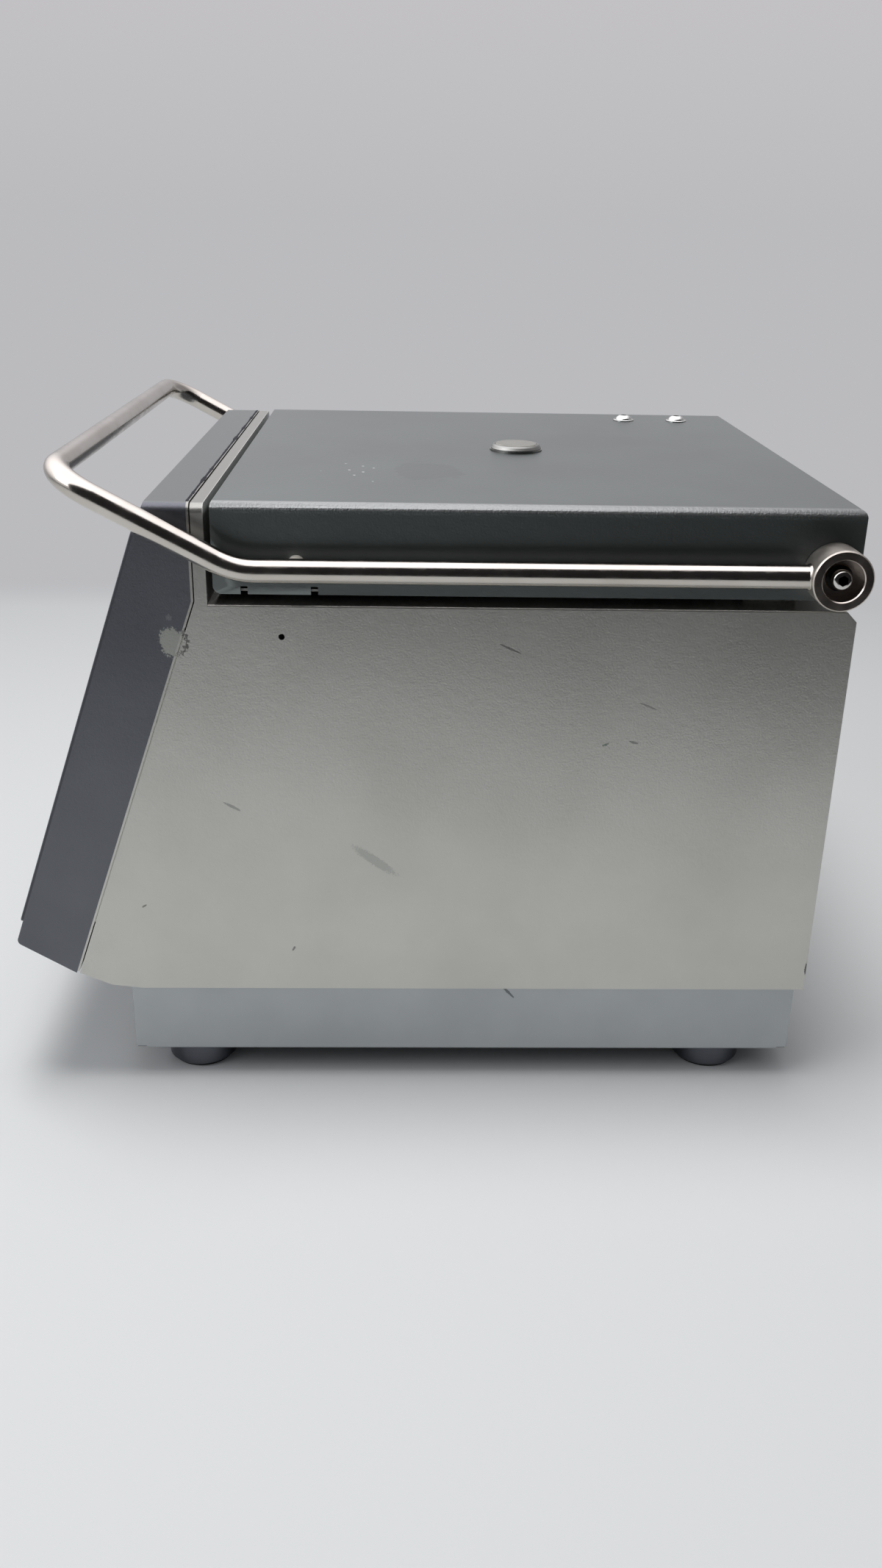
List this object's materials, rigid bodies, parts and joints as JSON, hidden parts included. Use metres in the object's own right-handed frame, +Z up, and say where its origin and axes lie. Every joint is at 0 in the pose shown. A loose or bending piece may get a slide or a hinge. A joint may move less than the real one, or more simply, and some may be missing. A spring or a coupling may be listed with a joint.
{
  "type": "carousel centrifuge",
  "caption": "Bench cell-washing centrifuge: folded steel housing, hinged lid with a bent stainless bail, sloping front panel, and a carousel rotor with swinging tube holders.",
  "frame": {"origin": "on the floor under the centre of the whole footprint, the feet's pads standing on Z = 0", "axes": "+Z up, front towards -Y, +X is the right side seen from behind and the side with the release hole"},
  "size_m": [0.466, 0.5549, 0.4454],
  "materials": {
    "powder_coat": "fine textured silver grey powder coat, satin",
    "lid_coat": "fine textured grey powder coat, satin",
    "fascia_coat": "smooth dark blue grey paint on a moulded fascia, satin",
    "panel_film": "matt printed film on a stiff plate, light grey",
    "plinth_coat": "grey powder coat, satin",
    "bail_steel": "polished stainless tube, bright",
    "steel": "brushed or turned stainless steel",
    "bowl_steel": "spun stainless, satin",
    "nut_steel": "zinc plated steel, bright",
    "foot_metal": "turned aluminium, satin",
    "rubber": "black rubber, matt",
    "seal_rubber": "grey silicone, matt",
    "sight": "clear acrylic plug, polished",
    "rotor_metal": "anodised aluminium, satin",
    "holder_metal": "drawn stainless, satin",
    "motor_paint": "black enamel, satin",
    "black_plastic": "black moulded plastic, fine grain",
    "rocker_plastic": "black moulded plastic, glossy",
    "window": "dark tinted acrylic, glossy",
    "board": "green circuit board",
    "key_grey": "grey keycap, matt",
    "key_green": "green keycap, matt",
    "key_red": "red keycap, matt",
    "key_blue": "blue keycap, matt",
    "bush_bronze": "sintered bronze, matt"
  },
  "bodies": {
    "root": {"housing_shell": "powder_coat", "front_bulkhead": "powder_coat", "rear_panel": "powder_coat", "base_plinth": "plinth_coat", "feet": "foot_metal", "foot_pads": "rubber", "front_fascia": "fascia_coat", "front_panel": "panel_film", "display_window": "window", "control_board": "board", "chamber_bowl": "bowl_steel", "guard_ring": "steel", "drive_motor": "motor_paint", "motor_plate": "steel", "motor_mounts": "rubber", "hinge_shaft": "steel", "hinge_brackets": "steel", "pivot_screws": "nut_steel", "pivot_washers": "nut_steel", "latch_frame": "steel", "latch_solenoid": "black_plastic", "mains_inlet": "black_plastic"},
    "rotor": {"rotor_spindle": "steel", "carousel_plate": "rotor_metal", "rotor_nut": "rotor_metal"},
    "lid": {"lid_shell": "lid_coat", "lid_liner": "bowl_steel", "liner_posts": "nut_steel", "lid_seal": "seal_rubber", "sight_glass": "sight", "sight_ring": "bail_steel", "lid_striker": "steel", "friction_arm": "black_plastic", "arm_screws": "nut_steel", "bail_handle": "bail_steel", "bail_spacers": "steel", "bail_bushes": "bush_bronze"},
    "latch": {"latch_bolt": "steel"},
    "drawer": {"fuse_drawer": "black_plastic"},
    "rocker": {"power_rocker": "rocker_plastic"},
    "key_up": {"key_up": "key_grey"},
    "key_down": {"key_down": "key_grey"},
    "key_lid": {"key_lid": "key_blue"},
    "key_stop": {"key_stop": "key_red"},
    "key_start": {"key_start": "key_green"},
    "tube_holder_01": {"tube_holder_01": "holder_metal"},
    "tube_holder_02": {"tube_holder_02": "holder_metal"},
    "tube_holder_03": {"tube_holder_03": "holder_metal"},
    "tube_holder_04": {"tube_holder_04": "holder_metal"},
    "tube_holder_05": {"tube_holder_05": "holder_metal"},
    "tube_holder_06": {"tube_holder_06": "holder_metal"},
    "tube_holder_07": {"tube_holder_07": "holder_metal"},
    "tube_holder_08": {"tube_holder_08": "holder_metal"},
    "tube_holder_09": {"tube_holder_09": "holder_metal"},
    "tube_holder_10": {"tube_holder_10": "holder_metal"},
    "tube_holder_11": {"tube_holder_11": "holder_metal"},
    "tube_holder_12": {"tube_holder_12": "holder_metal"}
  },
  "joints": [
    {"name": "lid_hinge", "type": "hinge", "parent": "root", "child": "lid", "pos_m": [0, 0.25496, 0.381], "axis": [-1, 0, 0], "range_deg": [0, 75]},
    {"name": "rotor_spin", "type": "hinge", "parent": "root", "child": "rotor", "pos_m": [0, 0.07096, 0.295], "axis": [0, 0, 1], "continuous": true},
    {"name": "latch_slide", "type": "slide", "parent": "root", "child": "latch", "axis": [1, 0, 0], "range_m": [0, 0.012], "stiffness_N_per_m": 60},
    {"name": "drawer_slide", "type": "slide", "parent": "root", "child": "drawer", "axis": [0, 1, 0], "range_m": [0, 0.014]},
    {"name": "rocker_tilt", "type": "hinge", "parent": "root", "child": "rocker", "pos_m": [-0.15, 0.27166, 0.149], "axis": [0, 0, -1], "range_deg": [0, 20]},
    {"name": "key_up_press", "type": "slide", "parent": "root", "child": "key_up", "axis": [0, 0.9429, -0.333], "range_m": [0, 0.0012], "stiffness_N_per_m": 400},
    {"name": "key_down_press", "type": "slide", "parent": "root", "child": "key_down", "axis": [0, 0.9429, -0.333], "range_m": [0, 0.0012], "stiffness_N_per_m": 400},
    {"name": "key_lid_press", "type": "slide", "parent": "root", "child": "key_lid", "axis": [0, 0.9429, -0.333], "range_m": [0, 0.0012], "stiffness_N_per_m": 400},
    {"name": "key_stop_press", "type": "slide", "parent": "root", "child": "key_stop", "axis": [0, 0.9429, -0.333], "range_m": [0, 0.0012], "stiffness_N_per_m": 400},
    {"name": "key_start_press", "type": "slide", "parent": "root", "child": "key_start", "axis": [0, 0.9429, -0.333], "range_m": [0, 0.0012], "stiffness_N_per_m": 400},
    {"name": "holder_01_swing", "type": "hinge", "parent": "rotor", "child": "tube_holder_01", "pos_m": [0.082, 0.07096, 0.295], "axis": [0, -1, 0], "range_deg": [0, 60]},
    {"name": "holder_02_swing", "type": "hinge", "parent": "rotor", "child": "tube_holder_02", "pos_m": [0.07101, 0.11196, 0.295], "axis": [0.5, -0.866, 0], "range_deg": [0, 60]},
    {"name": "holder_03_swing", "type": "hinge", "parent": "rotor", "child": "tube_holder_03", "pos_m": [0.041, 0.14197, 0.295], "axis": [0.866, -0.5, 0], "range_deg": [0, 60]},
    {"name": "holder_04_swing", "type": "hinge", "parent": "rotor", "child": "tube_holder_04", "pos_m": [0, 0.15296, 0.295], "axis": [1, 0, 0], "range_deg": [0, 60]},
    {"name": "holder_05_swing", "type": "hinge", "parent": "rotor", "child": "tube_holder_05", "pos_m": [-0.041, 0.14197, 0.295], "axis": [0.866, 0.5, 0], "range_deg": [0, 60]},
    {"name": "holder_06_swing", "type": "hinge", "parent": "rotor", "child": "tube_holder_06", "pos_m": [-0.07101, 0.11196, 0.295], "axis": [0.5, 0.866, 0], "range_deg": [0, 60]},
    {"name": "holder_07_swing", "type": "hinge", "parent": "rotor", "child": "tube_holder_07", "pos_m": [-0.082, 0.07096, 0.295], "axis": [0, 1, 0], "range_deg": [0, 60]},
    {"name": "holder_08_swing", "type": "hinge", "parent": "rotor", "child": "tube_holder_08", "pos_m": [-0.07101, 0.02996, 0.295], "axis": [-0.5, 0.866, 0], "range_deg": [0, 60]},
    {"name": "holder_09_swing", "type": "hinge", "parent": "rotor", "child": "tube_holder_09", "pos_m": [-0.041, -0.00006, 0.295], "axis": [-0.866, 0.5, 0], "range_deg": [0, 60]},
    {"name": "holder_10_swing", "type": "hinge", "parent": "rotor", "child": "tube_holder_10", "pos_m": [0, -0.01104, 0.295], "axis": [-1, 0, 0], "range_deg": [0, 60]},
    {"name": "holder_11_swing", "type": "hinge", "parent": "rotor", "child": "tube_holder_11", "pos_m": [0.041, -0.00006, 0.295], "axis": [-0.866, -0.5, 0], "range_deg": [0, 60]},
    {"name": "holder_12_swing", "type": "hinge", "parent": "rotor", "child": "tube_holder_12", "pos_m": [0.07101, 0.02996, 0.295], "axis": [-0.5, -0.866, 0], "range_deg": [0, 60]}
  ]
}
